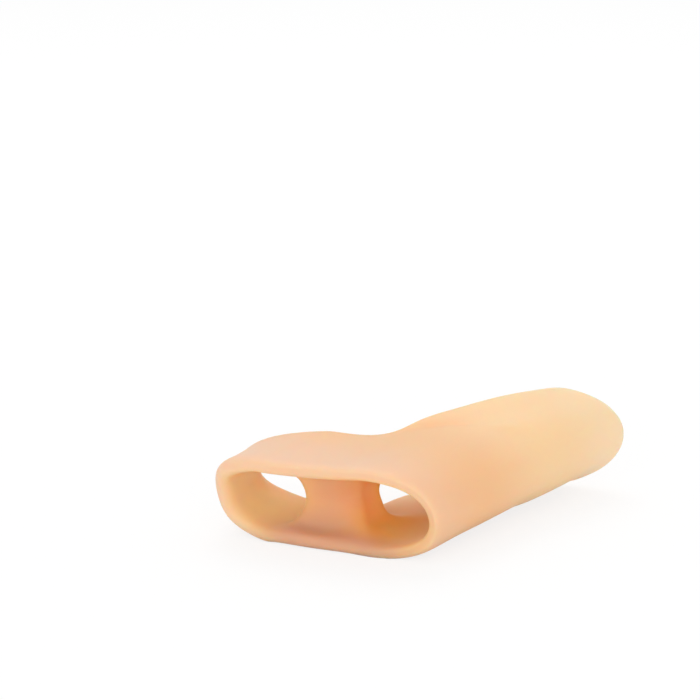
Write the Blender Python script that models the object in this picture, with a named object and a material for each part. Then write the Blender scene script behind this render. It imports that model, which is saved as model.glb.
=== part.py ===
"""Toe separator: a soft gel sleeve for two toes, with a shield along the side of the foot.

The sleeve is a flattened tube. A wall inside it, the septum, splits it into two toe tunnels. It is
short on the left and runs further back on the right, where its roof, side and floor go on into the
shield: a long tongue, hollow towards the foot, with a round tip. Everything is one moulded piece.

The piece is modelled as a thick sheet on a grid of columns and rows. Columns run round the sleeve,
and rows run from the mouth to the back. The grid is the cage of a Subdivision Surface, solved so
that the smooth surface passes through the points that the sizes below give.

Metres, +Z up. +X runs across the toes to the shield's side, and +Y from the mouth to the shield's
tip. The origin is in the middle of the piece's outline, on the surface that it lies on.
"""

import math

import bmesh
import bpy
import numpy as np
from mathutils import Matrix

# Sleeve: outside sizes, seen from the mouth
SLEEVE_WIDTH = 0.0427
MOUTH_HEIGHT_LEFT = 0.0161
MOUTH_HEIGHT_RIGHT = 0.0187
BACK_HEIGHT_LEFT = 0.0159
BACK_HEIGHT_RIGHT = 0.0152
LEFT_BEND = 0.0107              # width of the bend from the roof and the floor into each side
RIGHT_BEND = 0.0089

# Sleeve: places of its front and back edges along the foot, from the mouth's middle
FRONT_LEFT = -0.0032
FRONT_RIGHT = 0.0088
FRONT_LEAN = 0.0027             # how far the roof's edge stands forward of the floor's
BACK_LEFT = 0.0110
BACK_MIDDLE = 0.0249
BACK_RIGHT = 0.0420
LEFT_SPLAY = 0.0046             # how far the left side leans out towards the back
LEFT_RISE = 0.0006              # how far the left side stands higher than the middle
WAIST = 0.0001                  # how far the roof and the floor each dip in the middle
FLOOR_ARCH = 0.0005             # how far the floor's front edge arches up, most in the right tunnel
FLOOR_CUT = 0.0048              # how far its back edge is cut forward there

# Walls
FRONT_LIP = 0.0024
SLEEVE_WALL = 0.0023
LEFT_WALL_EXTRA = 0.0007
SHIELD_WALL = 0.0025

# Septum
SEPTUM_FRONT_WIDTH = 0.0085
SEPTUM_BACK_WIDTH = 0.0105
SEPTUM_ROOT_WIDTH = 0.0140      # where it meets the roof and the floor
SEPTUM_OFFSET = 0.0026          # how far left of the sleeve's middle it stands
SEPTUM_LEAN = 0.0008            # how much further left its front stands at mid height
SEPTUM_FRONT = 0.0060           # places of its middle's front and back, which follow the sleeve's
SEPTUM_BACK = 0.0149
SEPTUM_BACK_SLANT = 0.5         # how much of the sleeve's slanted back its own back follows
SEPTUM_HOLLOW = 0.0015          # how far its front and back dip at mid height
SEPTUM_ROUNDING = 0.0010
SEPTUM_LEAST_DEPTH = 0.0016     # what the dips and the rounding leave between its front and back
ROOF_FILLET = 0.0016            # extra thickness at its left root on the roof
FLOOR_FILLET = 0.0008           # and at its right root on the floor

# Shield
LENGTH = 0.0667                 # from the mouth's middle to the shield's tip
SHIELD_HEIGHT = 0.0196
SHIELD_SWELL = 0.88             # under 1 it reaches its height sooner, over 1 later
TIP_RADIUS = 0.0099
TIP_ANGLE = math.radians(70)    # of the tip's arc, each way from its middle
TIP_HOLLOW = 0.0089             # depth of the shield's hollow section at the tip
SHIELD_SWEEP = 0.8              # of its free edges in plan: over 1 they leave the root straight back
SHIELD_RISE = 0.0009            # how far its middle line climbs, from the root to the tip
FLOOR_REACH = 0.0059            # how much further in its lower edge reaches than its upper one
FLOOR_CURL = 0.0005             # how far that lower edge curls up

# How it lies
FLAT_DEPTH = 0.0003             # how much of the underside the gel's own weight presses flat

GEL_COLOUR = (0.93, 0.60, 0.38, 1.0)
GEL_ROUGHNESS = 0.42

# The grid: column 0 is the right side's crest, 4 the roof, 8 the left side and 12 the floor
COLUMNS = 16
QUARTER = COLUMNS // 4
SLEEVE_ROWS = 5
SHIELD_ROWS = 6
EDGE_COLUMN = 4                 # the shield takes this many columns on each side of the crest
BEND_ANGLE = math.radians(45)   # where on the bend column 1 lies
SEPTUM_STEPS = 4
FAIRING_PASSES = 2
SMOOTH_LEVELS = 2
LAST_SLEEVE_ROW = SLEEVE_ROWS - 1
TIP_ROW = LAST_SLEEVE_ROW + SHIELD_ROWS
SEPTUM_ROWS = range(1, LAST_SLEEVE_ROW)
ROOF_COLUMNS = (QUARTER - 1, QUARTER, QUARTER + 1)
FLOOR_COLUMNS = tuple(COLUMNS - column for column in ROOF_COLUMNS)
SEPTUM_COLUMNS = ROOF_COLUMNS + FLOOR_COLUMNS


def blend(start, end, share):
    """Returns the value at a share of the way from start to end."""
    return start * (1 - share) + end * share


def section_point(column, height):
    """Returns a column's place across and up on the sleeve's section, flat between two round ends."""
    step = column % COLUMNS
    half_step = step if step <= COLUMNS // 2 else COLUMNS - step
    side, bend = (1, RIGHT_BEND) if half_step <= QUARTER else (-1, LEFT_BEND)
    flat = SLEEVE_WIDTH / 2 - bend
    quarter = (
        (flat + bend, 0.0),
        (flat + bend * math.cos(BEND_ANGLE), height / 2 * math.sin(BEND_ANGLE)),
        (flat, height / 2),
        (SEPTUM_ROOT_WIDTH / 2, height / 2),
        (0.0, height / 2),
    )
    across, up = quarter[min(half_step, COLUMNS // 2 - half_step)]
    return side * across, up if step <= COLUMNS // 2 else -up


def sleeve_point(column, row):
    """Returns the point of the sleeve's outside at a column and a row."""
    share = row / LAST_SLEEVE_ROW
    left_height = blend(MOUTH_HEIGHT_LEFT, BACK_HEIGHT_LEFT, share)
    right_height = blend(MOUTH_HEIGHT_RIGHT, BACK_HEIGHT_RIGHT, share)
    level_x, _ = section_point(column, left_height)
    across = level_x / (SLEEVE_WIDTH / 2)
    height = blend(left_height, right_height, (across + 1) / 2)
    x, z = section_point(column, height)
    left, right = max(-across, 0.0), max(across, 0.0)

    # in plan the front edge is a bow and the back edge is slanted, and the septum follows both
    front = (FRONT_RIGHT + FRONT_LEFT) / 2 * across ** 2 + (FRONT_RIGHT - FRONT_LEFT) / 2 * across
    back = (BACK_LEFT - BACK_MIDDLE) * left + (BACK_RIGHT - BACK_MIDDLE) * right
    bow = (1 - across ** 2) * (1 + across) if z < 0 else 0.0
    if row in SEPTUM_ROWS and column in SEPTUM_COLUMNS:
        front, back = front + SEPTUM_FRONT, back * SEPTUM_BACK_SLANT + SEPTUM_BACK
        y = blend(front, back, (row - SEPTUM_ROWS[0]) / (len(SEPTUM_ROWS) - 1))
    else:
        front += FRONT_LIP / 2 - FRONT_LEAN / 2 * z / (height / 2)
        back += BACK_MIDDLE - SLEEVE_WALL / 2 - FLOOR_CUT * bow
        y = blend(front, back, share)
    x -= SEPTUM_OFFSET * (1 - across ** 2) + LEFT_SPLAY * left ** 2 * share
    z *= 1 - WAIST * (1 - across ** 2) / (height / 2)
    z += FLOOR_ARCH * bow * (1 - share) + LEFT_RISE * left ** 2
    return np.array([x, y, z])


def shield_point(column, row):
    """Returns the point of the shield's outside at a column, counted from the crest, and a row."""
    crest = sleeve_point(0, LAST_SLEEVE_ROW)
    root = sleeve_point(column, LAST_SLEEVE_ROW)
    edge = sleeve_point(EDGE_COLUMN, LAST_SLEEVE_ROW)
    share = (row - LAST_SLEEVE_ROW) / SHIELD_ROWS
    side = column / EDGE_COLUMN
    angle = TIP_ANGLE * side

    # along the foot: the sleeve's slanted back edge turns into the tip's round one
    y = blend(root[1], LENGTH - SHIELD_WALL / 2, share)
    y -= TIP_RADIUS * (1 - math.cos(angle)) * share ** 3

    # half the height: a parabola through the root, the greatest height and the tip
    root_half, tip_half = edge[2], TIP_RADIUS * math.sin(TIP_ANGLE)
    swell = share ** SHIELD_SWELL
    half = root_half * (1 - swell) * (1 - 2 * swell) + 2 * SHIELD_HEIGHT * swell * (1 - swell)
    half += tip_half * swell * (2 * swell - 1)
    z = half * blend(root[2] / root_half, math.sin(angle) / math.sin(TIP_ANGLE), share)
    z += SHIELD_RISE * share * (2 - share)

    # how far the section curls in from the crest
    fade = (1 - share) ** 2
    edge_depth = crest[0] - edge[0]
    curl = blend(side ** 2, (crest[0] - root[0]) / edge_depth, fade)
    x = crest[0] - curl * blend(edge_depth, TIP_HOLLOW, share ** SHIELD_SWEEP)

    # the lower edge reaches in under the foot
    under = 4 * share * (1 - share) * min(side, 0.0) ** 2
    return np.array([x - FLOOR_REACH * under, y, z + FLOOR_CURL * under])


def fair_heights(points):
    """Returns the points with their heights evened out along each column, but for the free edges."""
    faired = {}
    for (column, row), point in points.items():
        before, after = points.get((column, row - 1)), points.get((column, row + 1))
        faired[column, row] = point.copy()
        on_edge = column in (EDGE_COLUMN, COLUMNS - EDGE_COLUMN)
        if before is not None and after is not None and not on_edge:
            faired[column, row][2] = (before[2] + 2 * point[2] + after[2]) / 4
    return faired


def outside_points():
    """Returns the sheet's outside as a dict from (column, row) to a point."""
    points = {}
    for row in range(SLEEVE_ROWS):
        for column in range(COLUMNS):
            points[column, row] = sleeve_point(column, row)
    for row in range(SLEEVE_ROWS, TIP_ROW + 1):
        for column in range(-EDGE_COLUMN, EDGE_COLUMN + 1):
            points[column % COLUMNS, row] = shield_point(column, row)
    for _ in range(FAIRING_PASSES):
        points = fair_heights(points)
    return points


def difference(points, here, before, after):
    """Returns the step between two neighbours of a point, or from the point where one is missing."""
    return points.get(after, points[here]) - points.get(before, points[here])


def is_cell(column, row):
    """Tells whether the sheet has a cell from this column and row to the next ones."""
    if row < LAST_SLEEVE_ROW:
        return True
    return row < TIP_ROW and (column + EDGE_COLUMN) % COLUMNS < 2 * EDGE_COLUMN


def outward_normals(points):
    """Returns the outside's unit normal at each point."""
    normals = {}
    for column, row in points:
        before, after = ((column - 1) % COLUMNS, row), ((column + 1) % COLUMNS, row)
        round_step = difference(points, (column, row), before, after)
        back_step = difference(points, (column, row), (column, row - 1), (column, row + 1))
        normal = np.cross(back_step, round_step)
        normals[column, row] = normal / np.linalg.norm(normal)
    return normals


def wall_thickness(point, column, row):
    """Returns the sheet's thickness at a point of its outside."""
    if row > LAST_SLEEVE_ROW:
        return SHIELD_WALL
    left = max(-point[0] / (SLEEVE_WIDTH / 2), 0.0)
    thickness = blend(FRONT_LIP, SLEEVE_WALL, min(row / 2, 1.0))
    if row == LAST_SLEEVE_ROW:
        thickness = (SLEEVE_WALL + SHIELD_WALL) / 2
    if row in SEPTUM_ROWS and column == ROOF_COLUMNS[-1]:
        thickness += ROOF_FILLET
    if row in SEPTUM_ROWS and column == FLOOR_COLUMNS[0]:
        thickness += FLOOR_FILLET
    return thickness + LEFT_WALL_EXTRA * left ** 2


def mouth_edge():
    """Returns the columns and rows round the mouth, each with its neighbour inside the sheet."""
    return [((column, 0), (column, 1)) for column in range(COLUMNS)]


def back_edge():
    """Returns the same for the edge round the sleeve's back and the shield."""
    edge = []
    for column in range(EDGE_COLUMN + 1, COLUMNS - EDGE_COLUMN):
        edge.append(((column, LAST_SLEEVE_ROW), (column, LAST_SLEEVE_ROW - 1)))
    for row in range(LAST_SLEEVE_ROW, TIP_ROW):
        inner_row = row - 1 if row == LAST_SLEEVE_ROW else row
        edge.append(((COLUMNS - EDGE_COLUMN, row), (COLUMNS - EDGE_COLUMN + 1, inner_row)))
    for column in range(-EDGE_COLUMN, EDGE_COLUMN + 1):
        inner_column = max(min(column, EDGE_COLUMN - 1), 1 - EDGE_COLUMN)
        edge.append(((column % COLUMNS, TIP_ROW), (inner_column % COLUMNS, TIP_ROW - 1)))
    for row in range(TIP_ROW - 1, LAST_SLEEVE_ROW - 1, -1):
        inner_row = row - 1 if row == LAST_SLEEVE_ROW else row
        edge.append(((EDGE_COLUMN, row), (EDGE_COLUMN - 1, inner_row)))
    return edge


def unit(vector):
    """Returns the vector at length 1."""
    return vector / np.linalg.norm(vector)


class Cage:
    """A closed cage of quads between named points.

    Attributes:
        points: each name's place on the smooth surface.
        quads: the faces, as lists of four names.
    """

    def __init__(self):
        self.points = {}
        self.quads = []

    def add_sheet(self):
        """Adds the outside and the inside of the thick sheet."""
        outside = outside_points()
        normals = outward_normals(outside)
        for (column, row), point in outside.items():
            thickness = wall_thickness(point, column, row)
            self.points["outside", column, row] = point
            self.points["inside", column, row] = point - normals[column, row] * thickness
        for column, row in outside:
            if not is_cell(column, row):
                continue
            following = (column + 1) % COLUMNS
            corners = ((column, row), (following, row), (following, row + 1), (column, row + 1))
            self.quads.append([("outside", *corner) for corner in corners])
            under_septum = column in SEPTUM_COLUMNS and following in SEPTUM_COLUMNS
            if not (under_septum and row in SEPTUM_ROWS and row + 1 in SEPTUM_ROWS):
                self.quads.append([("inside", *corner) for corner in corners])
        self.add_lip("mouth", mouth_edge(), outside, normals)
        self.add_lip("back", back_edge(), outside, normals)

    def add_lip(self, name, edge, outside, normals):
        """Adds a half-round lip between the outside and the inside along an edge."""
        places = [place for place, _ in edge]
        for index, (place, inner_place) in enumerate(edge):
            following, previous = places[(index + 1) % len(places)], places[index - 1]
            along = unit(outside[following] - outside[previous])
            normal = normals[place]
            outward = outside[place] - outside[inner_place]
            outward -= normal * (outward @ normal)
            outward = unit(outward - along * (outward @ along))
            inside = self.points[("inside", *place)]
            thickness = np.linalg.norm(outside[place] - inside)
            middle = (outside[place] + inside) / 2
            self.points[(name, *place)] = middle + outward * thickness / 2
            for near, far in (("outside", name), (name, "inside")):
                self.quads.append([(near, *place), (near, *following), (far, *following), (far, *place)])

    def septum_name(self, side, step, row):
        """Returns the name of a septum point; its first and last steps lie on the sheet's inside."""
        if step == 0:
            return ("inside", FLOOR_COLUMNS[side], row)
        if step == SEPTUM_STEPS:
            return ("inside", ROOF_COLUMNS[side], row)
        return ("septum", side, step, row)

    def between_roots(self, side, step, row):
        """Returns the point that lies straight between a septum point's roots."""
        floor = self.points[self.septum_name(side, 0, row)]
        roof = self.points[self.septum_name(side, SEPTUM_STEPS, row)]
        return blend(floor, roof, step / SEPTUM_STEPS)

    def septum_point(self, side, step, row):
        """Returns a septum point's place. Side 0 is its right face, 1 its middle and 2 its left."""
        first, last = SEPTUM_ROWS[0], SEPTUM_ROWS[-1]
        along = (row - first) / (last - first)
        share = step / SEPTUM_STEPS
        waist = 4 * share * (1 - share)

        right = self.points[self.septum_name(0, SEPTUM_STEPS, row)]
        left = self.points[self.septum_name(2, SEPTUM_STEPS, row)]
        middle = (left[0] + right[0]) / 2 - SEPTUM_LEAN * waist * (1 - along)
        width = blend(SEPTUM_ROOT_WIDTH, blend(SEPTUM_FRONT_WIDTH, SEPTUM_BACK_WIDTH, along), waist)

        front = self.between_roots(side, step, first)[1]
        back = self.between_roots(side, step, last)[1]
        inward = SEPTUM_HOLLOW * waist
        if side != 1:
            inward += SEPTUM_ROUNDING
        inward = min(inward, max(back - front - SEPTUM_LEAST_DEPTH, 0.0) / 2)

        point = self.between_roots(side, step, row)
        point[0] = middle + (1 - side) * width / 2
        point[1] = blend(front + inward, back - inward, along)
        return point

    def add_septum(self):
        """Adds the wall between the two toe tunnels."""
        ends = (SEPTUM_ROWS[0], SEPTUM_ROWS[-1])
        for row in SEPTUM_ROWS:
            for step in range(1, SEPTUM_STEPS):
                for side in range(3):
                    if side != 1 or row in ends:
                        name = self.septum_name(side, step, row)
                        self.points[name] = self.septum_point(side, step, row)
        for step in range(SEPTUM_STEPS):
            for row in SEPTUM_ROWS[:-1]:
                for side in (0, 2):
                    corners = ((step, row), (step, row + 1), (step + 1, row + 1), (step + 1, row))
                    self.quads.append([self.septum_name(side, *corner) for corner in corners])
            for row in ends:
                for side in (0, 1):
                    corners = ((side, step), (side, step + 1), (side + 1, step + 1), (side + 1, step))
                    self.quads.append([self.septum_name(*corner, row) for corner in corners])

    def solve(self):
        """Returns the cage's own corners, whose smooth surface passes through the points.

        Returns:
            The corners as rows of x, y and z, and the quads as rows of four corner numbers.
        """
        names = sorted({name for quad in self.quads for name in quad}, key=str)
        number = {name: index for index, name in enumerate(names)}
        quads = np.array([[number[name] for name in quad] for quad in self.quads])
        valence = np.bincount(quads.ravel())
        limit = np.diag(valence.astype(float) ** 2)
        for corner in range(4):
            here, opposite = quads[:, corner], quads[:, (corner + 2) % 4]
            np.add.at(limit, (here, opposite), 1.0)
            for neighbour in (quads[:, (corner + 1) % 4], quads[:, (corner + 3) % 4]):
                np.add.at(limit, (here, neighbour), 2.0)
        limit /= (valence * (valence + 5.0))[:, None]
        targets = np.array([self.points[name] for name in names])
        return np.linalg.solve(limit, targets), quads


def level_out(corners):
    """Returns the corners turned to how the piece lies on a level surface.

    It lies on a foremost and a hindmost point. Of all pairs of points, one in front of the piece's
    middle and one behind it, theirs is the pair whose line passes lowest under that middle.
    """
    y, z = corners[:, 1], corners[:, 2]
    middle = y.mean()
    front, back = np.flatnonzero(y < middle), np.flatnonzero(y >= middle)
    run = y[back][None, :] - y[front][:, None]
    climb = z[back][None, :] - z[front][:, None]
    under_middle = z[front][:, None] + climb / run * (middle - y[front])[:, None]
    first, second = np.unravel_index(under_middle.argmin(), under_middle.shape)
    turn = Matrix.Rotation(-math.atan2(climb[first, second], run[first, second]), 3, "X")
    return corners @ np.array(turn).T


def gel_material():
    """Returns the soft, slightly shiny gel."""
    material = bpy.data.materials.new("gel")
    material.use_nodes = True
    shader = material.node_tree.nodes["Principled BSDF"]
    shader.inputs["Base Color"].default_value = GEL_COLOUR
    shader.inputs["Roughness"].default_value = GEL_ROUGHNESS
    shader.inputs["Metallic"].default_value = 0.0
    return material


def make_object(name, corners, quads):
    """Returns a linked object with the given corners and quads, its faces pointing out."""
    mesh = bpy.data.meshes.new(name)
    mesh.from_pydata(corners.tolist(), [], quads.tolist())
    cage = bmesh.new()
    cage.from_mesh(mesh)
    bmesh.ops.recalc_face_normals(cage, faces=cage.faces)
    cage.to_mesh(mesh)
    cage.free()
    mesh.shade_smooth()
    made = bpy.data.objects.new(name, mesh)
    bpy.context.collection.objects.link(made)
    return made


def smooth_bounds(item):
    """Returns the low and high corners of an object's evaluated surface."""
    evaluated = item.evaluated_get(bpy.context.evaluated_depsgraph_get())
    surface = evaluated.to_mesh()
    places = np.array([vertex.co for vertex in surface.vertices])
    evaluated.to_mesh_clear()
    return places.min(axis=0), places.max(axis=0)


def add_surface_cutter(low, high):
    """Returns a hidden block whose top is the surface that the piece lies on.

    Args:
        low: the low corner of the piece's box.
        high: the high corner of the piece's box.
    """
    size = 2 * (high - low).max()
    bpy.ops.mesh.primitive_cube_add(size=size, location=(0, 0, -size / 2))
    cutter = bpy.context.object
    cutter.name = "surface_cutter"
    cutter.display_type = "WIRE"
    cutter.hide_render = True
    return cutter


def build_separator():
    """Makes the toe separator."""
    cage = Cage()
    cage.add_sheet()
    cage.add_septum()
    corners, quads = cage.solve()
    separator = make_object("toe_separator", level_out(corners), quads)
    separator.data.materials.append(gel_material())

    subdivision = separator.modifiers.new("smooth_skin", "SUBSURF")
    subdivision.levels = SMOOTH_LEVELS
    subdivision.render_levels = SMOOTH_LEVELS

    low, high = smooth_bounds(separator)
    middle = (low + high) / 2
    lowering = Matrix.Translation((-middle[0], -middle[1], -low[2] - FLAT_DEPTH))
    separator.data.transform(lowering)

    flat = separator.modifiers.new("flat_underside", "BOOLEAN")
    flat.operation = "DIFFERENCE"
    flat.solver = "EXACT"
    flat.object = add_surface_cutter(low, high)


def main():
    """Clears the scene and builds the piece."""
    for item in list(bpy.data.objects):
        bpy.data.objects.remove(item)
    build_separator()


main()
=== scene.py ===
"""Looks of the toe separator: one moulded piece of soft, translucent silicone gel.

The piece is a thick sheet on a grid of columns and rows. Columns run round the sleeve, and rows run
from its mouth to its back and on to the shield's tip. Whole arrays of points are worked out from the
sizes, turned into a closed cage of quads and solved, so that the smooth surface of the cage passes
through them. That surface is refined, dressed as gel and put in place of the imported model's node.

Metres, +Z up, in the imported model's frame: +X runs across the toes to the shield's side, and +Y
from the mouth to the shield's tip.
"""

from __future__ import annotations

import logging
import math
from dataclasses import dataclass, field
from enum import Enum

import bmesh
import bpy
import numpy as np
from mathutils import Matrix, Vector

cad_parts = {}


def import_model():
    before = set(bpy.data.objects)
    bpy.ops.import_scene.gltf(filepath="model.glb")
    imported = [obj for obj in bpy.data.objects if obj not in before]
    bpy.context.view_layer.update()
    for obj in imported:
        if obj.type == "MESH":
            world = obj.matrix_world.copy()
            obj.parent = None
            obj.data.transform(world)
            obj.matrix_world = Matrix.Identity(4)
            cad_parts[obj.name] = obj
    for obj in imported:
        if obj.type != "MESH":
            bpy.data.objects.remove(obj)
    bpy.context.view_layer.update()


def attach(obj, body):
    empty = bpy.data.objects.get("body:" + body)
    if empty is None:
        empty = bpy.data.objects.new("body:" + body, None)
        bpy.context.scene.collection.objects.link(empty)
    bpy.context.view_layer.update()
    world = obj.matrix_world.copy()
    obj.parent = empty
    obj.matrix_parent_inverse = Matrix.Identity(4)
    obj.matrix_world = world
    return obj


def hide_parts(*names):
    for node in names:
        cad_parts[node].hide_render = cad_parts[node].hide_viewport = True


LOG = logging.getLogger("toe_separator")
NODE = "toe_separator"
PIECE = "gel_moulding"
# Name of the mesh attribute that weights the painted shade in the tunnels and on the mouth's lip.
PAINTED_SHADE = "painted_shade"
MM = 0.001
IMAGE_SIZE = 700
WHITE = (1.0, 1.0, 1.0, 1.0)
Shade = tuple[float, float, float]
Values = np.ndarray | float


class Rim(Enum):
    """The two free edges of the sheet."""

    MOUTH = "mouth"
    BACK = "back"


def blend(start: Values, end: Values, share: Values) -> Values:
    """Returns the value at a share of the way from start to end."""
    return start * (1 - share) + end * share


def unit(vectors: np.ndarray) -> np.ndarray:
    """Returns the vectors at length 1."""
    return vectors / np.linalg.norm(vectors, axis=-1, keepdims=True)


@dataclass(frozen=True)
class Grid:
    """The rows and columns that the sheet's points lie on.

    Column 0 is the right side's crest, a quarter of the columns on is the roof, then come the left
    side and the floor. The shield takes the columns up to edge_column on each side of the crest.
    """

    columns: int = 16
    sleeve_rows: int = 5
    shield_rows: int = 6
    edge_column: int = 4
    septum_rows: tuple[int, ...] = (1, 2, 3)
    septum_steps: int = 4

    @property
    def quarter(self) -> int:
        """The roof's column."""
        return self.columns // 4

    @property
    def last_sleeve_row(self) -> int:
        """The row at the sleeve's back edge."""
        return self.sleeve_rows - 1

    @property
    def rows(self) -> int:
        """The number of rows, from the mouth to the shield's tip."""
        return self.sleeve_rows + self.shield_rows

    @property
    def shield_columns(self) -> np.ndarray:
        """The shield's columns, counted from the crest."""
        return np.arange(-self.edge_column, self.edge_column + 1)

    @property
    def roof_columns(self) -> np.ndarray:
        """The three columns where the septum meets the roof, from right to left."""
        return self.quarter + np.arange(-1, 2)

    @property
    def floor_columns(self) -> np.ndarray:
        """The three columns where the septum meets the floor, from right to left."""
        return self.columns - self.roof_columns

    def present(self) -> np.ndarray:
        """Returns which places of the grid hold a point, by row and column."""
        there = np.ones((self.rows, self.columns), bool)
        there[self.sleeve_rows :] = False
        there[self.sleeve_rows :, self.shield_columns % self.columns] = True
        return there

    def cells(self) -> np.ndarray:
        """Returns which cells of the sheet exist, by their first row and column."""
        there = np.zeros((self.rows - 1, self.columns), bool)
        there[: self.last_sleeve_row] = True
        there[self.last_sleeve_row :, self.shield_columns[:-1] % self.columns] = True
        return there

    def cells_under_septum(self) -> np.ndarray:
        """Returns which cells of the inside the septum stands on."""
        there = np.zeros((self.rows - 1, self.columns), bool)
        rows = np.array(self.septum_rows[:-1])
        there[np.ix_(rows, self.roof_columns[:-1])] = True
        there[np.ix_(rows, self.floor_columns[1:])] = True
        return there

    def rim(self, which: Rim) -> tuple[np.ndarray, np.ndarray]:
        """Returns the places along one free edge, and each one's neighbour inside the sheet.

        Args:
            which: the edge.

        Returns:
            Two arrays of rows and columns, one line for each place.
        """
        if which is Rim.MOUTH:
            around = np.arange(self.columns)
            zero = np.zeros_like(around)
            return np.stack([zero, around], 1), np.stack([zero + 1, around], 1)
        back, tip, edge = self.last_sleeve_row, self.rows - 1, self.edge_column
        sleeve = np.arange(edge + 1, self.columns - edge)
        down = np.arange(back, tip)
        across = self.shield_columns
        up = np.arange(tip - 1, back - 1, -1)
        places = [
            np.stack([np.full_like(sleeve, back), sleeve], 1),
            np.stack([down, np.full_like(down, -edge)], 1),
            np.stack([np.full_like(across, tip), across], 1),
            np.stack([up, np.full_like(up, edge)], 1),
        ]
        inner = [
            np.stack([np.full_like(sleeve, back - 1), sleeve], 1),
            np.stack([np.where(down == back, back - 1, down), np.full_like(down, 1 - edge)], 1),
            np.stack([np.full_like(across, tip - 1), across.clip(1 - edge, edge - 1)], 1),
            np.stack([np.where(up == back, back - 1, up), np.full_like(up, edge - 1)], 1),
        ]
        wrap = np.array([self.rows, self.columns])
        return np.concatenate(places) % wrap, np.concatenate(inner) % wrap


@dataclass(frozen=True)
class Sleeve:
    """The flattened tube that the toes go through, by the sizes of its outside."""

    width: float = 42.7 * MM
    mouth_height_left: float = 16.1 * MM
    mouth_height_right: float = 18.7 * MM
    back_height_left: float = 15.9 * MM
    back_height_right: float = 15.2 * MM
    left_bend: float = 10.7 * MM
    right_bend: float = 8.9 * MM
    front_left: float = -3.2 * MM
    front_right: float = 8.8 * MM
    front_lean: float = 2.7 * MM
    back_left: float = 11.0 * MM
    back_middle: float = 24.9 * MM
    back_right: float = 42.0 * MM
    left_splay: float = 4.6 * MM
    left_rise: float = 0.6 * MM
    waist: float = 0.1 * MM
    floor_arch: float = 0.5 * MM
    floor_cut: float = 4.8 * MM
    lip: float = 2.4 * MM
    wall: float = 2.3 * MM
    left_wall_extra: float = 0.7 * MM
    bend_angle: float = math.radians(45)

    def section(
        self, column: np.ndarray, height: np.ndarray, root: float, grid: Grid
    ) -> tuple[np.ndarray, np.ndarray]:
        """Works out a section that is flat between two half ellipses.

        From the crest on, a quarter of it is: the side's middle, a point on the bend, the bend's
        end, the septum's root and the middle.

        Args:
            column: the columns.
            height: the section's height at each of them.
            root: the width of the septum's root.
            grid: the sheet's grid.

        Returns:
            How far across and how far up each place lies.
        """
        half_step = np.minimum(column, grid.columns - column)
        on_right = half_step <= grid.quarter
        step = np.minimum(half_step, grid.columns // 2 - half_step)
        bend = np.where(on_right, self.right_bend, self.left_bend)
        flat = self.width / 2 - bend
        across = np.choose(
            step,
            [
                flat + bend,
                flat + bend * math.cos(self.bend_angle),
                flat,
                np.full_like(flat, root / 2),
                np.zeros_like(flat),
            ],
        )
        half = height / 2
        up = np.choose(step, [np.zeros_like(half), half * math.sin(self.bend_angle), half, half, half])
        return np.where(on_right, across, -across), np.where(column <= grid.columns // 2, up, -up)

    def outside(self, septum: Septum, grid: Grid) -> np.ndarray:
        """Works out the sleeve's outside.

        Each row is a share of the way from the front edge, a bow whose roof stands forward, to the
        back edge, which is slanted. The floor's front arches up and its back is cut forward, by the
        bow (1 - across squared) (1 + across). The heights change evenly between the four corners.

        Args:
            septum: the wall inside, whose front and back follow the sleeve's edges.
            grid: the sheet's grid.

        Returns:
            The points by row and column.
        """
        row, column = np.mgrid[0 : grid.sleeve_rows, 0 : grid.columns]
        share = row / grid.last_sleeve_row
        left_height = blend(self.mouth_height_left, self.back_height_left, share)
        right_height = blend(self.mouth_height_right, self.back_height_right, share)
        level_x, _ = self.section(column, left_height, septum.root_width, grid)
        across = level_x / (self.width / 2)
        height = blend(left_height, right_height, (across + 1) / 2)
        x, z = self.section(column, height, septum.root_width, grid)
        left, right = np.maximum(-across, 0), np.maximum(across, 0)

        front = (self.front_right + self.front_left) / 2 * across**2
        front = front + (self.front_right - self.front_left) / 2 * across
        back = (self.back_left - self.back_middle) * left + (self.back_right - self.back_middle) * right
        bow = np.where(z < 0, (1 - across**2) * (1 + across), 0)
        septum_front, septum_back = front + septum.front, back * septum.back_slant + septum.back
        front = front + self.lip / 2 - self.front_lean / 2 * z / (height / 2)
        back = back + self.back_middle - self.wall / 2 - self.floor_cut * bow
        y = blend(front, back, share)
        rows = np.array(grid.septum_rows)
        columns = np.concatenate([grid.roof_columns, grid.floor_columns])
        within = np.ix_(rows, columns)
        steps = (rows - rows[0])[:, None] / (len(rows) - 1)
        y[within] = blend(septum_front[within], septum_back[within], steps)

        x = x - septum.offset * (1 - across**2) - self.left_splay * left**2 * share
        z = z * (1 - self.waist * (1 - across**2) / (height / 2))
        z = z + self.floor_arch * bow * (1 - share) + self.left_rise * left**2
        return np.stack([x, y, z], -1)

    def thickness(self, points: np.ndarray, grid: Grid) -> np.ndarray:
        """Returns the sleeve's wall thickness at each of its points."""
        row = np.arange(grid.sleeve_rows)[:, None]
        left = np.maximum(-points[..., 0] / (self.width / 2), 0)
        return blend(self.lip, self.wall, np.minimum(row / 2, 1)) + self.left_wall_extra * left**2


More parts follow.
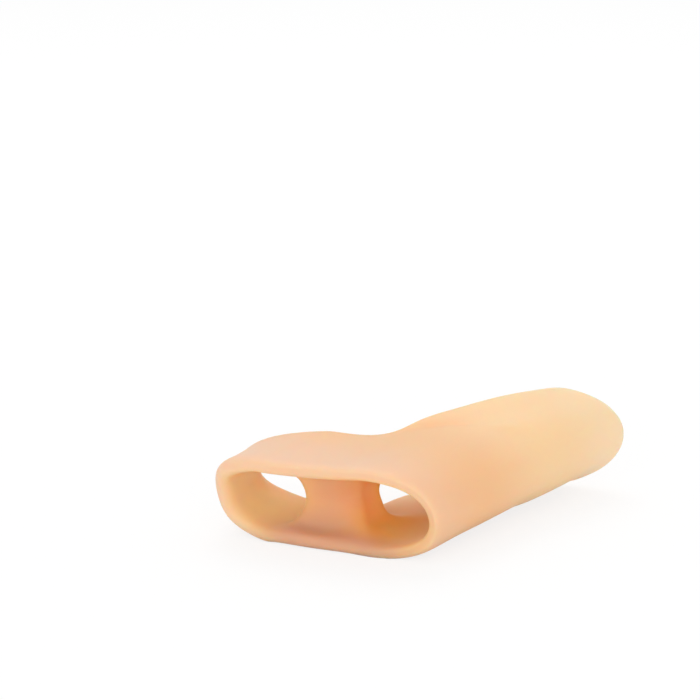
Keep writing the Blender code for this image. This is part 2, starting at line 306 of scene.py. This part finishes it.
@dataclass(frozen=True)
class Shield:
    """The long tongue that covers the side of the foot, hollow towards it."""

    length: float = 66.7 * MM
    height: float = 19.6 * MM
    swell: float = 0.88
    sweep: float = 0.8
    wall: float = 2.5 * MM
    tip_radius: float = 9.9 * MM
    tip_angle: float = math.radians(70)
    tip_hollow: float = 8.9 * MM
    rise: float = 0.9 * MM
    floor_reach: float = 5.9 * MM
    floor_curl: float = 0.5 * MM

    def outside(self, root: np.ndarray, grid: Grid) -> np.ndarray:
        """Works out the shield's outside from the sleeve's last row.

        Along the foot, the slanted root turns into the round tip. Half the height is a parabola
        through the root, the greatest height and the tip. The section curls in from the crest, as
        deep as the root's at first and as the tip's hollow at last.

        Args:
            root: the sleeve's last row, by the shield's columns.
            grid: the sheet's grid.

        Returns:
            The points by row and column, the root left out.
        """
        share = np.arange(1, grid.shield_rows + 1)[:, None] / grid.shield_rows
        side = grid.shield_columns / grid.edge_column
        angle = self.tip_angle * side
        crest, edge = root[grid.edge_column], root[-1]

        y = blend(root[:, 1], self.length - self.wall / 2, share)
        y = y - self.tip_radius * (1 - np.cos(angle)) * share**3

        swell = share**self.swell
        half = edge[2] * (1 - swell) * (1 - 2 * swell) + 2 * self.height * swell * (1 - swell)
        half = half + self.tip_radius * math.sin(self.tip_angle) * swell * (2 * swell - 1)
        z = half * blend(root[:, 2] / edge[2], np.sin(angle) / math.sin(self.tip_angle), share)
        z = z + self.rise * share * (2 - share)

        fade = (1 - share) ** 2
        edge_depth = crest[0] - edge[0]
        curl = blend(side**2, (crest[0] - root[:, 0]) / edge_depth, fade)
        x = crest[0] - curl * blend(edge_depth, self.tip_hollow, share**self.sweep)

        under = 4 * share * (1 - share) * np.minimum(side, 0) ** 2
        return np.stack([x - self.floor_reach * under, y, z + self.floor_curl * under], -1)


@dataclass(frozen=True)
class Septum:
    """The wall between the two toe tunnels."""

    front_width: float = 8.5 * MM
    back_width: float = 10.5 * MM
    root_width: float = 14.0 * MM
    offset: float = 2.6 * MM
    lean: float = 0.8 * MM
    front: float = 6.0 * MM
    back: float = 14.9 * MM
    back_slant: float = 0.5
    hollow: float = 1.5 * MM
    rounding: float = 1.0 * MM
    least_depth: float = 1.6 * MM
    roof_fillet: float = 1.6 * MM
    floor_fillet: float = 0.8 * MM

    def points(self, floor: np.ndarray, roof: np.ndarray, grid: Grid) -> np.ndarray:
        """Works out the septum's points between the floor and the roof.

        It widens from front to back. Its width is least at mid height and grows with the square of
        the distance from there. Its front and back dip in a parabola, and their outer columns stand
        back, which rounds them. The rows between them are evenly spaced.

        Args:
            floor: the inside's points under it, by septum row and from right to left.
            roof: the same above it.
            grid: the sheet's grid.

        Returns:
            The points by row, step up and side, with those of the floor and the roof.
        """
        share = (np.arange(grid.septum_steps + 1) / grid.septum_steps)[None, :, None]
        side = np.arange(3)[None, None, :]
        points = blend(floor[:, None], roof[:, None], share[..., None])
        middle = (roof[:, 0, 0] + roof[:, 2, 0]) / 2
        waist = 4 * share * (1 - share)
        along = np.linspace(0, 1, len(roof))[:, None, None]
        width = blend(self.root_width, blend(self.front_width, self.back_width, along), waist)
        middle = middle[:, None, None] - self.lean * waist * (1 - along)
        inward = self.hollow * waist + self.rounding * (side != 1)
        within = points[:, 1:-1]
        within[..., 0] = (middle + (1 - side) * width / 2)[:, 1:-1]
        room = np.maximum(within[-1, ..., 1] - within[0, ..., 1] - self.least_depth, 0)
        inward = np.minimum(inward[0, 1:-1], room / 2)
        within[0, ..., 1] += inward
        within[-1, ..., 1] -= inward
        within[..., 1] = blend(within[0, ..., 1], within[-1, ..., 1], along)
        return points


@dataclass
class Cage:
    """A closed cage of quads and the points that its smooth surface has to pass through."""

    points: list[np.ndarray] = field(default_factory=list)
    # How much painted tunnel shade each point takes.
    painted_shades: list[np.ndarray] = field(default_factory=list)
    quads: list[np.ndarray] = field(default_factory=list)
    count: int = 0

    def add_points(self, points: np.ndarray, painted_shade: np.ndarray | float = 0.0) -> np.ndarray:
        """Adds an array of points.

        Args:
            points: the points, on any grid.
            painted_shade: how deep inside the tunnels they lie, from 0 to 1, on the same grid; it
                weights the painted shade.

        Returns:
            Their numbers, on the same grid.
        """
        flat = points.reshape(-1, 3)
        numbers = self.count + np.arange(len(flat))
        self.points.append(flat)
        self.painted_shades.append(np.broadcast_to(painted_shade, points.shape[:-1]).ravel())
        self.count += len(flat)
        return numbers.reshape(points.shape[:-1])

    def add_quads(
        self, first: np.ndarray, second: np.ndarray, third: np.ndarray, last: np.ndarray
    ) -> None:
        """Adds quads by four arrays of point numbers."""
        self.quads.append(np.stack([first, second, third, last], -1).reshape(-1, 4))

    def add_patch(self, numbers: np.ndarray) -> None:
        """Adds the quads of a patch, given by its points' numbers on a grid."""
        self.add_quads(numbers[:-1, :-1], numbers[:-1, 1:], numbers[1:, 1:], numbers[1:, :-1])

    def solve(self) -> tuple[np.ndarray, np.ndarray, np.ndarray]:
        """Finds the corners whose smooth surface passes through the points.

        A corner's place on the smooth surface is a weighted mean of itself, its neighbours and the
        far corners of its quads: n squared, 4 and 1, over n (n + 5), with n quads round it.

        Returns:
            The corners, the weights of their painted shade, and the quads as rows of four corner
            numbers.
        """
        used, quads = np.unique(np.concatenate(self.quads), return_inverse=True)
        quads = quads.reshape(-1, 4)
        valence = np.bincount(quads.ravel())
        limit = np.diag(valence.astype(float) ** 2)
        for corner in range(4):
            here, opposite = quads[:, corner], quads[:, (corner + 2) % 4]
            np.add.at(limit, (here, opposite), 1.0)
            for neighbour in (quads[:, (corner + 1) % 4], quads[:, (corner + 3) % 4]):
                np.add.at(limit, (here, neighbour), 2.0)
        limit /= (valence * (valence + 5.0))[:, None]
        corners = np.linalg.solve(limit, np.concatenate(self.points)[used])
        return corners, np.concatenate(self.painted_shades)[used], quads


@dataclass(frozen=True)
class GelFinish:
    """Peach silicone gel: soft, satin and slightly translucent.

    Attributes:
        shades: its peach from the mouth to the shield's tip, with painted light making the tip paler.
        shades_from: where the first of them is, along the foot.
        shades_to: where the last of them is.
        tunnel_painted_shades: painted shade deep in the tunnels, from left to right, deeper and more
            orange.
        tunnel_shade_from: where the first of those is, across the toes.
        tunnel_shade_to: where the last of them is.
        lower_lip_painted_shade: painted shade on the mouth's lower lip, browner where it faces down to
            the table.
        lower_lip_shade_across: where that starts, is full, is still full and ends, across the toes.
        lower_lip_shade_along: where it starts and is full, along the foot.
        lower_lip_shade_up: the same in height.
        scatter: how far red light travels inside it, in metres.
        scatter_tint: how far red, green and blue travel, as shares of that.
        refraction: the gel's index of refraction.
        roughness: of the surface.
        gloss: how strongly it mirrors, where 0.5 leaves that to the index alone.
        grain: size of the fine surface grain, in metres.
        grain_detail: how many finer layers the grain has.
        grain_depth: how deep the grain is, in metres.
        cloud: size of the soft clouds in the gel's tint, in metres.
        cloud_detail: how many finer layers the clouds have.
        cloud_strength: how much the clouds darken it, as a share.
    """

    # The gel's own peach with painted light: lighter towards the shield's tip, where light shines
    # through it.
    shades: tuple[Shade, ...] = (
        (0.89, 0.585, 0.39),
        (0.91, 0.555, 0.30),
        (0.99, 0.67, 0.39),
        (1.0, 0.73, 0.475),
    )
    shades_from: float = -30.0 * MM
    shades_to: float = 35.0 * MM
    # Painted shade of the tunnels: from the yellower left one to the deep orange right one, standing in
    # for shade and light bounced round inside.
    tunnel_painted_shades: tuple[Shade, ...] = (
        (1.0, 0.74, 0.38),
        (1.0, 0.64, 0.275),
        (0.85, 0.475, 0.245),
        (1.0, 0.50, 0.125),
        (1.0, 0.59, 0.195),
    )
    tunnel_shade_from: float = -18.0 * MM
    tunnel_shade_to: float = 18.0 * MM
    # Painted shade on the mouth's lower lip, where it faces down towards the table.
    lower_lip_painted_shade: Shade = (0.75, 0.43, 0.28)
    lower_lip_shade_across: tuple[float, float, float, float] = (-13.0 * MM, -5.0 * MM, 15.0 * MM, 22.0 * MM)
    lower_lip_shade_along: tuple[float, float] = (-20.0 * MM, -26.0 * MM)
    lower_lip_shade_up: tuple[float, float] = (7.0 * MM, 2.5 * MM)
    scatter: float = 4.2 * MM
    scatter_tint: tuple[float, float, float] = (1.0, 0.5, 0.3)
    refraction: float = 1.41
    roughness: float = 0.45
    gloss: float = 0.3
    grain: float = 0.35 * MM
    grain_detail: float = 3.0
    grain_depth: float = 0.01 * MM
    cloud: float = 18.0 * MM
    cloud_detail: float = 2.0
    cloud_strength: float = 0.04

    def share(
        self, tree: bpy.types.NodeTree, place: str, start: float, end: float
    ) -> bpy.types.NodeSocket:
        """Adds nodes that go smoothly from 0 to 1 along an axis of the piece.

        Args:
            tree: the material's nodes.
            place: the axis, X, Y or Z.
            start: where the share is 0.
            end: where it is 1.

        Returns:
            The socket with the share.
        """
        coordinates = tree.nodes.new("ShaderNodeTexCoord")
        split = tree.nodes.new("ShaderNodeSeparateXYZ")
        share = tree.nodes.new("ShaderNodeMapRange")
        share.inputs["From Min"].default_value = start
        share.inputs["From Max"].default_value = end
        tree.links.new(coordinates.outputs["Object"], split.inputs["Vector"])
        tree.links.new(split.outputs[place], share.inputs["Value"])
        return share.outputs["Result"]

    def ramp(
        self,
        tree: bpy.types.NodeTree,
        place: str,
        start: float,
        end: float,
        shades: tuple[Shade, ...],
    ) -> bpy.types.Node:
        """Adds nodes that blend through some shades along an axis of the piece.

        Args:
            tree: the material's nodes.
            place: the axis, X or Y.
            start: where the first shade is.
            end: where the last shade is.
            shades: the shades.

        Returns:
            The node whose Color is the blended shade.
        """
        share = self.share(tree, place, start, end)
        colours = tree.nodes.new("ShaderNodeValToRGB")
        colours.color_ramp.interpolation = "EASE"
        stops = colours.color_ramp.elements
        for number in range(1, len(shades) - 1):
            stops.new(number / (len(shades) - 1))
        for stop, shade in zip(stops, shades, strict=True):
            stop.color = (*shade, 1.0)
        tree.links.new(share, colours.inputs["Fac"])
        return colours

    def lower_lip_shade_share(self, tree: bpy.types.NodeTree) -> bpy.types.NodeSocket:
        """Adds nodes that tell how much of the lower lip's painted shade a place takes.

        Args:
            tree: the material's nodes.

        Returns:
            The socket with the product of the shares across, along and up.
        """
        left_start, left_full, right_full, right_start = self.lower_lip_shade_across
        product = self.share(tree, "X", left_start, left_full)
        for place, start, full in (
            ("X", right_start, right_full),
            ("Y", *self.lower_lip_shade_along),
            ("Z", *self.lower_lip_shade_up),
        ):
            times = tree.nodes.new("ShaderNodeMath")
            times.operation = "MULTIPLY"
            tree.links.new(product, times.inputs[0])
            tree.links.new(self.share(tree, place, start, full), times.inputs[1])
            product = times.outputs["Value"]
        return product

    def material(self) -> bpy.types.Material:
        """Makes the gel's material.

        Returns:
            A material with painted light in its colour: lighter towards the tip, painted shade deeper
            in the tunnels and browner on the lower lip, with soft clouds in its tint and a fine grain
            on its surface.
        """
        made = bpy.data.materials.new("silicone_gel")
        made.use_nodes = True
        nodes, links = made.node_tree.nodes, made.node_tree.links
        shader = nodes["Principled BSDF"]
        shader.inputs["Metallic"].default_value = 0.0
        shader.inputs["IOR"].default_value = self.refraction
        shader.inputs["Specular IOR Level"].default_value = self.gloss
        shader.inputs["Subsurface Weight"].default_value = 1.0
        shader.inputs["Subsurface Radius"].default_value = self.scatter_tint
        shader.inputs["Subsurface Scale"].default_value = self.scatter
        shader.inputs["Roughness"].default_value = self.roughness

        place = nodes.new("ShaderNodeTexCoord")
        clouds = nodes.new("ShaderNodeTexNoise")
        clouds.inputs["Scale"].default_value = 1 / self.cloud
        clouds.inputs["Detail"].default_value = self.cloud_detail
        links.new(place.outputs["Object"], clouds.inputs["Vector"])
        # Painted light along the foot: the gel's own peach, painted lighter towards the tip.
        outside = self.ramp(made.node_tree, "Y", self.shades_from, self.shades_to, self.shades)
        # Painted shade inside the tunnels: deeper, more orange colours across the toes.
        tunnels = self.ramp(
            made.node_tree, "X", self.tunnel_shade_from, self.tunnel_shade_to, self.tunnel_painted_shades
        )
        # This attribute weights the painted shade of the tunnels, the septum and the mouth's lip.
        painted_shade = nodes.new("ShaderNodeAttribute")
        painted_shade.attribute_name = PAINTED_SHADE
        deeper = nodes.new("ShaderNodeMix")
        deeper.data_type = "RGBA"
        links.new(painted_shade.outputs["Fac"], deeper.inputs["Factor"])
        links.new(outside.outputs["Color"], deeper.inputs["A"])
        links.new(tunnels.outputs["Color"], deeper.inputs["B"])
        # Painted shade on the mouth's lower lip.
        lower = nodes.new("ShaderNodeMix")
        lower.data_type = "RGBA"
        lower.inputs["B"].default_value = (*self.lower_lip_painted_shade, 1.0)
        links.new(self.lower_lip_shade_share(made.node_tree), lower.inputs["Factor"])
        links.new(deeper.outputs["Result"], lower.inputs["A"])
        darker = nodes.new("ShaderNodeMapRange")
        darker.inputs["To Min"].default_value = 1.0
        darker.inputs["To Max"].default_value = 1.0 - self.cloud_strength
        clouded = nodes.new("ShaderNodeMix")
        clouded.data_type = "RGBA"
        clouded.blend_type = "MULTIPLY"
        clouded.inputs["Factor"].default_value = 1.0
        links.new(clouds.outputs["Fac"], darker.inputs["Value"])
        links.new(lower.outputs["Result"], clouded.inputs["A"])
        links.new(darker.outputs["Result"], clouded.inputs["B"])
        links.new(clouded.outputs["Result"], shader.inputs["Base Color"])

        grain = nodes.new("ShaderNodeTexNoise")
        grain.inputs["Scale"].default_value = 1 / self.grain
        grain.inputs["Detail"].default_value = self.grain_detail
        links.new(place.outputs["Object"], grain.inputs["Vector"])
        bump = nodes.new("ShaderNodeBump")
        bump.inputs["Distance"].default_value = self.grain_depth
        links.new(grain.outputs["Fac"], bump.inputs["Height"])
        links.new(bump.outputs["Normal"], shader.inputs["Normal"])
        return made


@dataclass(frozen=True)
class ToeSeparator:
    """The whole moulding.

    Attributes:
        sleeve: the tube round the toes.
        septum: the wall inside it.
        shield: the tongue along the foot.
        finish: the gel.
        grid: the grid of the sheet.
        fairing_passes: how often the heights are evened out along the columns.
        flat_depth: how much of the underside the gel's own weight presses flat.
        fineness: how often the cage is subdivided.
        tunnel_painted_shade_by_row: the weight of painted shade on each row of the inside, from the
            mouth on.
        septum_painted_shade: the weight of painted shade on the septum.
        mouth_rim_painted_shade: the same for the mouth's lip, by column, most on the lower lip.
    """

    sleeve: Sleeve = Sleeve()
    septum: Septum = Septum()
    shield: Shield = Shield()
    finish: GelFinish = GelFinish()
    grid: Grid = Grid()
    fairing_passes: int = 5
    flat_depth: float = 0.3 * MM
    fineness: int = 3
    tunnel_painted_shade_by_row: tuple[float, ...] = (0.75, 1.0, 1.0, 0.9, 0.3)
    septum_painted_shade: float = 0.9
    mouth_rim_painted_shade: tuple[float, ...] = (0.1, 0, 0, 0, 0, 0, 0, 0, 0, 0.1, 0.4, 0.7, 0.8, 0.8, 0.6, 0.3)

    def outside(self) -> np.ndarray:
        """Returns the sheet's outside by row and column, with zeros where there is no point."""
        grid = self.grid
        points = np.zeros((grid.rows, grid.columns, 3))
        points[: grid.sleeve_rows] = self.sleeve.outside(self.septum, grid)
        columns = grid.shield_columns % grid.columns
        root = points[grid.last_sleeve_row, columns]
        points[grid.sleeve_rows :, columns] = self.shield.outside(root, grid)
        return self.faired(points)

    def faired(self, points: np.ndarray) -> np.ndarray:
        """Evens out the heights along each column, but for the ends and the shield's free edges.

        Args:
            points: the sheet's outside.

        Returns:
            The points, each height moved to the mean of itself and of its two neighbours' mean.
        """
        there = self.grid.present()
        inner = np.zeros_like(there)
        inner[1:-1] = there[:-2] & there[1:-1] & there[2:]
        edge = self.grid.edge_column
        inner[:, [edge, self.grid.columns - edge]] = False
        heights = points[..., 2].copy()
        for _ in range(self.fairing_passes):
            mean = heights.copy()
            mean[1:-1] = (heights[:-2] + 2 * heights[1:-1] + heights[2:]) / 4
            heights = np.where(inner, mean, heights)
        return np.concatenate([points[..., :2], heights[..., None]], -1)

    def normals(self, points: np.ndarray) -> np.ndarray:
        """Works out the outside's unit normals from the steps to each point's neighbours.

        Args:
            points: the sheet's outside.

        Returns:
            The normals by row and column.
        """
        there = self.grid.present()[..., None]
        after = np.where(np.roll(there, -1, 1), np.roll(points, -1, 1), points)
        before = np.where(np.roll(there, 1, 1), np.roll(points, 1, 1), points)
        following, previous = points.copy(), points.copy()
        following[:-1] = np.where(there[1:], points[1:], points[:-1])
        previous[1:] = points[:-1]
        normals = np.cross(following - previous, after - before)
        length = np.linalg.norm(normals, axis=-1, keepdims=True)
        return normals / np.where(length > 0, length, 1)

    def thickness(self, points: np.ndarray) -> np.ndarray:
        """Works out the sheet's thickness.

        Args:
            points: the sheet's outside.

        Returns:
            The thickness by row and column, with the fillets at two of the septum's roots.
        """
        grid = self.grid
        wall = np.full((grid.rows, grid.columns), self.shield.wall)
        wall[: grid.sleeve_rows] = self.sleeve.thickness(points[: grid.sleeve_rows], grid)
        wall[grid.last_sleeve_row] += (self.shield.wall - self.sleeve.wall) / 2
        rows = np.array(grid.septum_rows)
        wall[rows, grid.roof_columns[-1]] += self.septum.roof_fillet
        wall[rows, grid.floor_columns[0]] += self.septum.floor_fillet
        return wall

    def add_lip(
        self,
        cage: Cage,
        rim: Rim,
        outside: np.ndarray,
        inside: np.ndarray,
        sheet: dict[str, np.ndarray],
    ) -> None:
        """Adds a half-round lip along a free edge.

        The lip's middle stands half the thickness out from the middle of the edge, square to the
        edge and to the sheet's normal.

        Args:
            cage: the cage to add to.
            rim: the free edge.
            outside: the numbers of the outside's points.
            inside: the numbers of the inside's points.
            sheet: the sheet's points and normals, under "outside", "inside" and "normals".
        """
        places, inner = self.grid.rim(rim)
        here, within = tuple(places.T), tuple(inner.T)
        start, end, normal = sheet["outside"][here], sheet["inside"][here], sheet["normals"][here]
        along = unit(np.roll(start, -1, 0) - np.roll(start, 1, 0))
        outward = start - sheet["outside"][within]
        outward = outward - normal * (outward * normal).sum(1, keepdims=True)
        outward = unit(outward - along * (outward * along).sum(1, keepdims=True))
        half = np.linalg.norm(start - end, axis=1, keepdims=True) / 2
        # The mouth's lip takes painted shade by column, most on its lower part; the back lip takes
        # none.
        painted_shade = np.array(self.mouth_rim_painted_shade) if rim is Rim.MOUTH else 0.0
        lip = cage.add_points((start + end) / 2 + outward * half, painted_shade)
        rows = np.stack([outside[here], lip, inside[here]])
        cage.add_patch(np.concatenate([rows, rows[:, :1]], 1))

    def cage(self) -> Cage:
        """Builds the closed cage.

        Returns:
            The cage of the outside, the inside, the two lips and the septum.
        """
        grid, cage = self.grid, Cage()
        start = self.outside()
        normals = self.normals(start)
        end = start - normals * self.thickness(start)[..., None]
        # Painted shade inside the tunnels, by row from the mouth; the outside takes none.
        painted_shade = np.zeros(start.shape[:2])
        painted_shade[: len(self.tunnel_painted_shade_by_row)] = np.array(self.tunnel_painted_shade_by_row)[:, None]
        outside, inside = cage.add_points(start), cage.add_points(end, painted_shade)
        beneath = grid.cells_under_septum()
        for numbers, cells in ((outside, grid.cells()), (inside, grid.cells() & ~beneath)):
            after = np.roll(numbers, -1, 1)
            corners = (numbers[:-1], after[:-1], after[1:], numbers[1:])
            cage.add_quads(*(corner[cells] for corner in corners))
        sheet = {"outside": start, "inside": end, "normals": normals}
        for rim in Rim:
            self.add_lip(cage, rim, outside, inside, sheet)
        self.add_septum(cage, inside, end)
        return cage

    def add_septum(self, cage: Cage, inside: np.ndarray, points: np.ndarray) -> None:
        """Adds the septum between the floor and the roof.

        Args:
            cage: the cage to add to.
            inside: the numbers of the inside's points.
            points: the inside's points.
        """
        grid = self.grid
        on_floor = np.ix_(grid.septum_rows, grid.floor_columns)
        on_roof = np.ix_(grid.septum_rows, grid.roof_columns)
        wall = self.septum.points(points[on_floor], points[on_roof], grid)
        # The septum takes painted tunnel shade.
        numbers = cage.add_points(wall, self.septum_painted_shade)
        numbers[:, 0], numbers[:, -1] = inside[on_floor], inside[on_roof]
        for face in (numbers[:, :, 0], numbers[:, :, 2], numbers[0], numbers[-1]):
            cage.add_patch(face)

    def laid(self, corners: np.ndarray) -> np.ndarray:
        """Turns the corners to how the piece lies on a level surface.

        Of all pairs of points, one in front of the piece's middle and one behind it, it lies on the
        pair whose line passes lowest under that middle.

        Args:
            corners: the cage's corners.

        Returns:
            The corners, turned about X until that line is level.
        """
        y, z = corners[:, 1], corners[:, 2]
        front, back = np.flatnonzero(y < y.mean()), np.flatnonzero(y >= y.mean())
        run = y[back][None, :] - y[front][:, None]
        climb = z[back][None, :] - z[front][:, None]
        under = z[front][:, None] + climb / run * (y.mean() - y[front])[:, None]
        pair = np.unravel_index(under.argmin(), under.shape)
        turn = Matrix.Rotation(-math.atan2(climb[pair], run[pair]), 3, "X")
        return corners @ np.array(turn).T

    def surface(self) -> bpy.types.Mesh:
        """Makes the refined surface in its place.

        Returns:
            The cage's subdivided mesh, centred over the origin, its underside pressed flat.
        """
        corners, painted_shades, quads = self.cage().solve()
        mesh = bpy.data.meshes.new(PIECE)
        mesh.from_pydata(self.laid(corners).tolist(), [], quads.tolist())
        # The weights of the painted shade go on the mesh for the material to read.
        mesh.attributes.new(PAINTED_SHADE, "FLOAT", "POINT").data.foreach_set("value", painted_shades)
        faces = bmesh.new()
        faces.from_mesh(mesh)
        bmesh.ops.recalc_face_normals(faces, faces=faces.faces)
        faces.to_mesh(mesh)
        faces.free()
        rough = bpy.data.objects.new(PIECE + "_cage", mesh)
        bpy.context.scene.collection.objects.link(rough)
        smooth = rough.modifiers.new("smooth_skin", "SUBSURF")
        smooth.levels = smooth.render_levels = self.fineness
        evaluated = rough.evaluated_get(bpy.context.evaluated_depsgraph_get())
        fine = bpy.data.meshes.new_from_object(evaluated)
        bpy.data.objects.remove(rough)
        places = np.empty(len(fine.vertices) * 3)
        fine.vertices.foreach_get("co", places)
        places = places.reshape(-1, 3)
        low, high = places.min(0), places.max(0)
        middle = (low + high) / 2
        places -= (middle[0], middle[1], low[2] + self.flat_depth)
        places[:, 2] = places[:, 2].clip(0)
        fine.vertices.foreach_set("co", places.ravel())
        return fine

    def build(self) -> bpy.types.Object:
        """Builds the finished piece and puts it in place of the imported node.

        Returns:
            The piece.
        """
        fine = self.surface()
        fine.materials.clear()
        fine.materials.append(self.finish.material())
        piece = bpy.data.objects.new(PIECE, fine)
        bpy.context.scene.collection.objects.link(piece)
        fine.shade_smooth()
        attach(piece, "root")
        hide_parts(NODE)
        return piece


@dataclass(frozen=True)
class Lamp:
    """A soft square lamp.

    Attributes:
        name: its name.
        place: where it hangs.
        aim: what it points at.
        size: the length of its side.
        power: in watts.
        colour: of its light.
    """

    name: str
    place: tuple[float, float, float]
    size: float
    power: float
    aim: tuple[float, float, float] = (0.0, 0.0, 0.01)
    colour: tuple[float, float, float] = (1.0, 1.0, 1.0)

    def hang(self) -> bpy.types.Object:
        """Hangs the lamp.

        Returns:
            The lamp's object.
        """
        light = bpy.data.lights.new(self.name, "AREA")
        light.size = self.size
        light.energy = self.power
        light.color = self.colour
        lamp = bpy.data.objects.new(self.name, light)
        lamp.location = self.place
        toward = Vector(self.aim) - Vector(self.place)
        lamp.rotation_euler = toward.to_track_quat("-Z", "Y").to_euler()
        bpy.context.scene.collection.objects.link(lamp)
        return lamp


@dataclass(frozen=True)
class Studio:
    """A white table under soft light.

    Attributes:
        lamps: the lamps.
        sky: strength of the light from all round.
        table_size: length of the table's side.
        table_colour: of the table.
        table_roughness: of the table.
        table_glow: how much of the table the camera sees as glowing white, which pales the shadow.
        glow_strength: of that white.
    """

    lamps: tuple[Lamp, ...] = (
        Lamp("key", (-0.35, 0.35, 0.75), 0.5, 1.6),
        Lamp("fill", (0.46, -0.6, 0.2), 0.8, 2.3),
    )
    sky: float = 0.755
    table_size: float = 6.0
    table_colour: tuple[float, float, float, float] = (0.93, 0.93, 0.93, 1.0)
    table_roughness: float = 0.9
    table_glow: float = 0.78
    glow_strength: float = 1.03

    def table_material(self) -> bpy.types.Material:
        """Makes the table's material.

        Returns:
            A matt white that the camera sees as mostly glowing white, with a pale shadow.
        """
        made = bpy.data.materials.new("table_white")
        made.use_nodes = True
        nodes, links = made.node_tree.nodes, made.node_tree.links
        shader = nodes["Principled BSDF"]
        shader.inputs["Base Color"].default_value = self.table_colour
        shader.inputs["Roughness"].default_value = self.table_roughness
        shader.inputs["Specular IOR Level"].default_value = 0.0
        glow = nodes.new("ShaderNodeEmission")
        glow.inputs["Strength"].default_value = self.glow_strength
        rays = nodes.new("ShaderNodeLightPath")
        strength = nodes.new("ShaderNodeMath")
        strength.operation = "MULTIPLY"
        strength.inputs[1].default_value = self.table_glow
        links.new(rays.outputs["Is Camera Ray"], strength.inputs[0])
        both = nodes.new("ShaderNodeMixShader")
        links.new(strength.outputs["Value"], both.inputs["Fac"])
        links.new(shader.outputs["BSDF"], both.inputs[1])
        links.new(glow.outputs["Emission"], both.inputs[2])
        links.new(both.outputs["Shader"], nodes["Material Output"].inputs["Surface"])
        return made

    def lay_table(self) -> bpy.types.Object:
        """Lays the table under the piece.

        Returns:
            The table's object.
        """
        half = self.table_size / 2
        mesh = bpy.data.meshes.new("table")
        corners = [(-half, -half, 0), (half, -half, 0), (half, half, 0), (-half, half, 0)]
        mesh.from_pydata(corners, [], [(0, 1, 2, 3)])
        mesh.materials.append(self.table_material())
        table = bpy.data.objects.new("table", mesh)
        bpy.context.scene.collection.objects.link(table)
        return table

    def fill_sky(self) -> None:
        """Lights the scene from all round, and shows plain white behind the table."""
        world = bpy.data.worlds.new("white_room")
        world.use_nodes = True
        nodes, links = world.node_tree.nodes, world.node_tree.links
        background = nodes["Background"]
        background.inputs["Color"].default_value = WHITE
        rays = nodes.new("ShaderNodeLightPath")
        strength = nodes.new("ShaderNodeMix")
        strength.data_type = "FLOAT"
        strength.inputs["A"].default_value = self.sky
        strength.inputs["B"].default_value = 1.0
        links.new(rays.outputs["Is Camera Ray"], strength.inputs["Factor"])
        links.new(strength.outputs["Result"], background.inputs["Strength"])
        bpy.context.scene.world = world

    def set_up(self) -> None:
        """Lays the table, fills the sky and hangs the lamps."""
        self.lay_table()
        self.fill_sky()
        for lamp in self.lamps:
            lamp.hang()
            LOG.info("lamp %s", lamp.name)


@dataclass(frozen=True)
class Viewpoint:
    """The camera.

    Attributes:
        azimuth: how far round to the right it stands from straight in front of the mouth.
        elevation: how far up it stands.
        roll: how far it is turned about its own axis.
        distance: from the anchor, along the camera's axis.
        focal_pixels: the focal length in pixels of the image.
        anchor: a point on the table.
        anchor_pixel: where in the image that point shows.
        sensor: the sensor's width in millimetres.
        nearest: the least distance that it sees.
    """

    azimuth: float = math.radians(40.60)
    elevation: float = math.radians(14.95)
    roll: float = math.radians(-0.55)
    distance: float = 0.45
    focal_pixels: float = 2529.0
    anchor: tuple[float, float, float] = (0.0023, -0.0312, 0.0)
    anchor_pixel: tuple[float, float] = (312.90, 555.15)
    sensor: float = 36.0
    nearest: float = 0.01

    def set_up(self) -> bpy.types.Object:
        """Places the camera so that the anchor shows at its pixel.

        Returns:
            The camera's object.
        """
        sin_az, cos_az = math.sin(self.azimuth), math.cos(self.azimuth)
        sin_el, cos_el = math.sin(self.elevation), math.cos(self.elevation)
        back = Vector((sin_az * cos_el, -cos_az * cos_el, sin_el))
        right = Matrix.Rotation(self.roll, 3, back) @ Vector((cos_az, sin_az, 0))
        up = back.cross(right)
        across = (self.anchor_pixel[0] - IMAGE_SIZE / 2) / self.focal_pixels * self.distance
        above = (IMAGE_SIZE / 2 - self.anchor_pixel[1]) / self.focal_pixels * self.distance
        data = bpy.data.cameras.new("viewpoint")
        data.sensor_width = self.sensor
        data.lens = self.focal_pixels / IMAGE_SIZE * self.sensor
        data.clip_start = self.nearest
        camera = bpy.data.objects.new("viewpoint", data)
        place = Vector(self.anchor) + back * self.distance - right * across - up * above
        turn = Matrix((right, up, back)).transposed().to_4x4()
        camera.matrix_world = Matrix.Translation(place) @ turn
        bpy.context.scene.collection.objects.link(camera)
        bpy.context.scene.camera = camera
        return camera


def main() -> None:
    """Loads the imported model, dresses it and sets up the table, the lights and the camera."""
    logging.basicConfig(level=logging.INFO, format="%(name)s: %(message)s")
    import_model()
    piece = ToeSeparator().build()
    LOG.info("piece %s with %d faces", piece.name, len(piece.data.polygons))
    Studio().set_up()
    camera = Viewpoint().set_up()
    LOG.info("camera with a %.1f mm lens", camera.data.lens)
    bpy.context.scene.view_settings.view_transform = "Standard"


if __name__ == "__main__":
    main()
